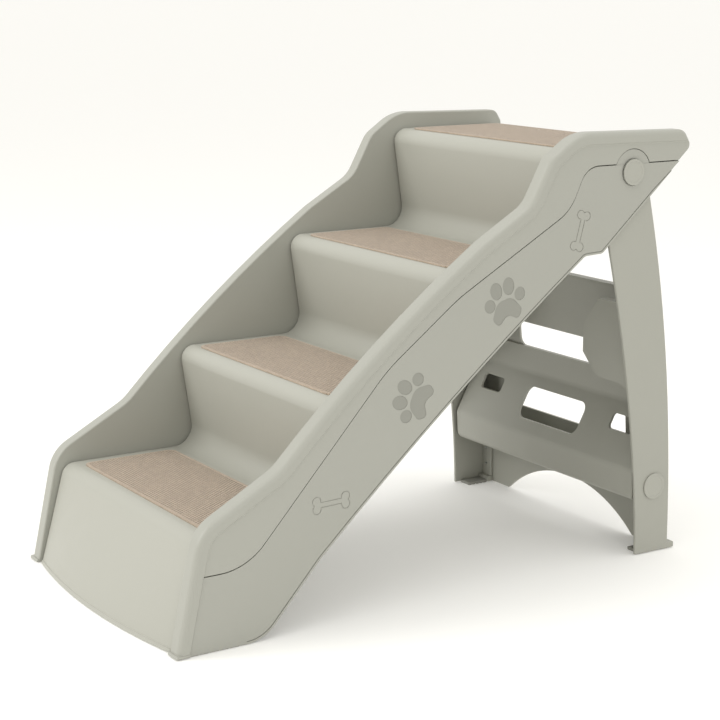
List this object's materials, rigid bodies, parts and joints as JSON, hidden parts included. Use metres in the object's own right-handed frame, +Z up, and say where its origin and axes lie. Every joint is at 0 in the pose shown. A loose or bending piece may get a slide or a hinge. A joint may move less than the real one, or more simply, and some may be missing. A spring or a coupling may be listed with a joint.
{
  "type": "folding pet stairs",
  "caption": "Folding pet stairs: moulded treads with woven mats between hollow rails, and a rear leg frame that folds under the treads.",
  "frame": {"origin": "middle of the footprint, on the floor", "axes": "+Z up, +Y up the climb from the low front step to the top, +X across the stairs to the right of someone climbing"},
  "size_m": [0.3816, 0.6782, 0.5016],
  "materials": {
    "tread_plastic": "satin moulded",
    "rail_plastic": "satin moulded",
    "panel_plastic": "satin moulded",
    "frame_plastic": "satin moulded",
    "cap_plastic": "satin moulded",
    "mat_fabric": "woven",
    "rubber": "matt",
    "washer_plastic": "natural nylon",
    "steel": "zinc plated"
  },
  "bodies": {
    "stairs": {"step_shell": "tread_plastic", "right_rail": "rail_plastic", "left_rail": "rail_plastic", "right_side_panel": "panel_plastic", "left_side_panel": "panel_plastic", "tread_mat_1": "mat_fabric", "tread_mat_2": "mat_fabric", "tread_mat_3": "mat_fabric", "tread_mat_4": "mat_fabric", "right_hinge_pin": "cap_plastic", "left_hinge_pin": "cap_plastic", "right_hinge_washer": "washer_plastic", "left_hinge_washer": "washer_plastic", "right_pin_nut": "steel", "left_pin_nut": "steel", "step_screws": "steel", "side_panel_screws": "steel", "right_front_foot": "rubber", "left_front_foot": "rubber"},
    "leg_frame": {"right_leg": "frame_plastic", "left_leg": "frame_plastic", "rear_web": "frame_plastic", "cross_panel": "frame_plastic", "right_cross_pin": "cap_plastic", "left_cross_pin": "cap_plastic", "leg_screws": "steel", "right_rear_foot": "rubber", "left_rear_foot": "rubber"}
  },
  "joints": [
    {"name": "leg_fold", "type": "hinge", "parent": "stairs", "child": "leg_frame", "pos_m": [0, 0.252, 0.455], "axis": [1, 0, 0], "range_deg": [-50, 0]}
  ]
}
